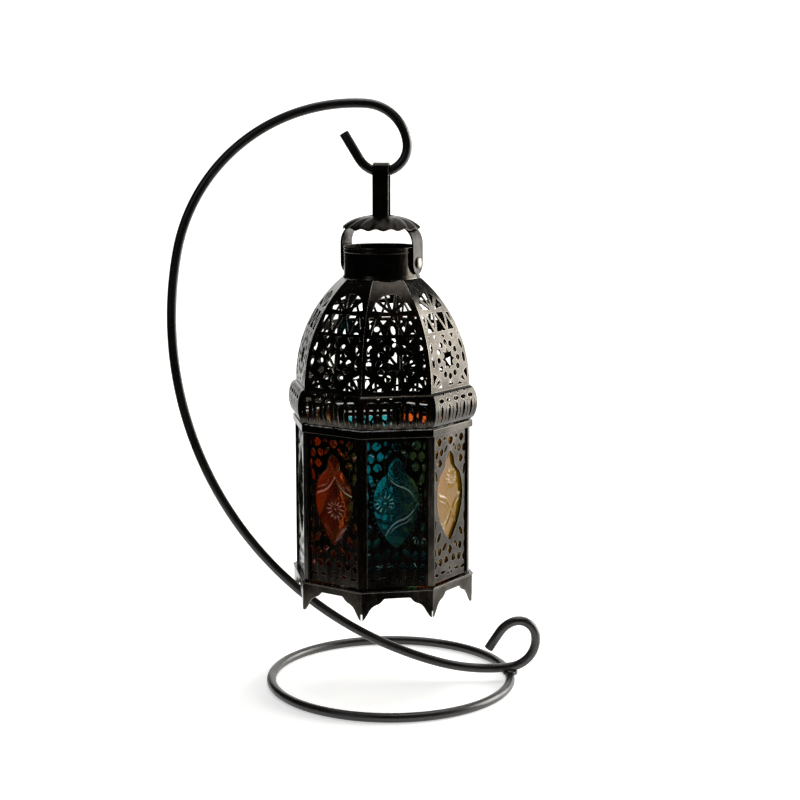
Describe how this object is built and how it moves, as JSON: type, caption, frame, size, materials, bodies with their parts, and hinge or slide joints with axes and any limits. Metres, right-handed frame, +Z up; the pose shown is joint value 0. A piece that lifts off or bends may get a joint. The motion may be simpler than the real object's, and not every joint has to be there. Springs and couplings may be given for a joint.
{
  "type": "candle lantern",
  "caption": "Eight-sided pierced tin lantern with embossed coloured glass, hanging by a bail and strip loop from a swirl stand of bent round wire on a ring foot.",
  "frame": {"origin": "middle of the object's footprint on the surface it stands on", "axes": "+Z up; the stand's arm lies in the XZ plane with its bow towards -X; -Y is the front"},
  "size_m": [0.1998, 0.1354, 0.3142],
  "materials": {
    "black_wire": "satin black powder coat with a fine speckle",
    "dark_tin": "dark bronze-black lacquered tin, semi gloss",
    "rivet_steel": "darkened steel",
    "glass_blue": "embossed translucent",
    "glass_amber": "embossed translucent",
    "glass_green": "embossed translucent",
    "glass_red": "embossed translucent",
    "tealight_tin": "thin pressed cup",
    "wax": "white paraffin wax",
    "wick": "waxed cotton braid"
  },
  "bodies": {
    "stand": {"base_ring": "black_wire", "hook_arm": "black_wire", "arm_foot": "black_wire", "ring_weld": "black_wire"},
    "loop": {"hanging_loop": "dark_tin"},
    "bail": {"bail_strap": "dark_tin", "heat_cap": "dark_tin"},
    "lantern": {"collar": "dark_tin", "bail_rivet_front": "rivet_steel", "bail_rivet_rear": "rivet_steel", "dome_panel_1": "dark_tin", "dome_panel_2": "dark_tin", "dome_panel_3": "dark_tin", "dome_panel_4": "dark_tin", "dome_panel_5": "dark_tin", "dome_panel_6": "dark_tin", "dome_panel_7": "dark_tin", "dome_panel_8": "dark_tin", "gallery_band": "dark_tin", "top_frame": "dark_tin", "corner_post_1": "dark_tin", "corner_post_2": "dark_tin", "corner_post_3": "dark_tin", "corner_post_4": "dark_tin", "corner_post_5": "dark_tin", "corner_post_6": "dark_tin", "corner_post_7": "dark_tin", "corner_post_8": "dark_tin", "filigree_panel_1": "dark_tin", "filigree_panel_2": "dark_tin", "filigree_panel_3": "dark_tin", "filigree_panel_4": "dark_tin", "filigree_panel_6": "dark_tin", "filigree_panel_7": "dark_tin", "filigree_panel_8": "dark_tin", "glass_pane_1": "glass_blue", "glass_pane_2": "glass_amber", "glass_pane_3": "glass_green", "glass_pane_4": "glass_red", "glass_pane_6": "glass_amber", "glass_pane_7": "glass_green", "glass_pane_8": "glass_red", "base_tray": "dark_tin", "skirt": "dark_tin", "hinge_leaf_lower": "dark_tin", "hinge_leaf_upper": "dark_tin", "hinge_pin": "rivet_steel", "candle_holder": "dark_tin"},
    "door": {"filigree_panel_5": "dark_tin", "glass_pane_5": "glass_blue", "door_frame": "dark_tin", "door_hinge_leaf": "dark_tin", "door_pull": "rivet_steel"},
    "candle": {"tealight_cup": "tealight_tin", "tealight_wax": "wax", "tealight_wick": "wick"}
  },
  "joints": [
    {"name": "hook_swing", "type": "hinge", "parent": "stand", "child": "loop", "pos_m": [0.0138, 0, 0.2764], "axis": [1, 0, 0], "range_deg": [-0.1, 2]},
    {"name": "bail_swing", "type": "hinge", "parent": "loop", "child": "bail", "pos_m": [0.0138, 0, 0.249], "axis": [0.9063, -0.4226, 0], "range_deg": [-0.1, 1]},
    {"name": "lantern_tilt", "type": "hinge", "parent": "bail", "child": "lantern", "pos_m": [0.0138, 0, 0.2297], "axis": [0.9063, -0.4226, 0], "range_deg": [-0.1, 1]},
    {"name": "door_swing", "type": "hinge", "parent": "lantern", "child": "door", "pos_m": [0.0206, 0.04835, 0.106], "axis": [0, 0, -1], "range_deg": [0, 110]},
    {"name": "candle_lift", "type": "slide", "parent": "lantern", "child": "candle", "axis": [0, 0, 1], "range_m": [0, 0.012]}
  ]
}
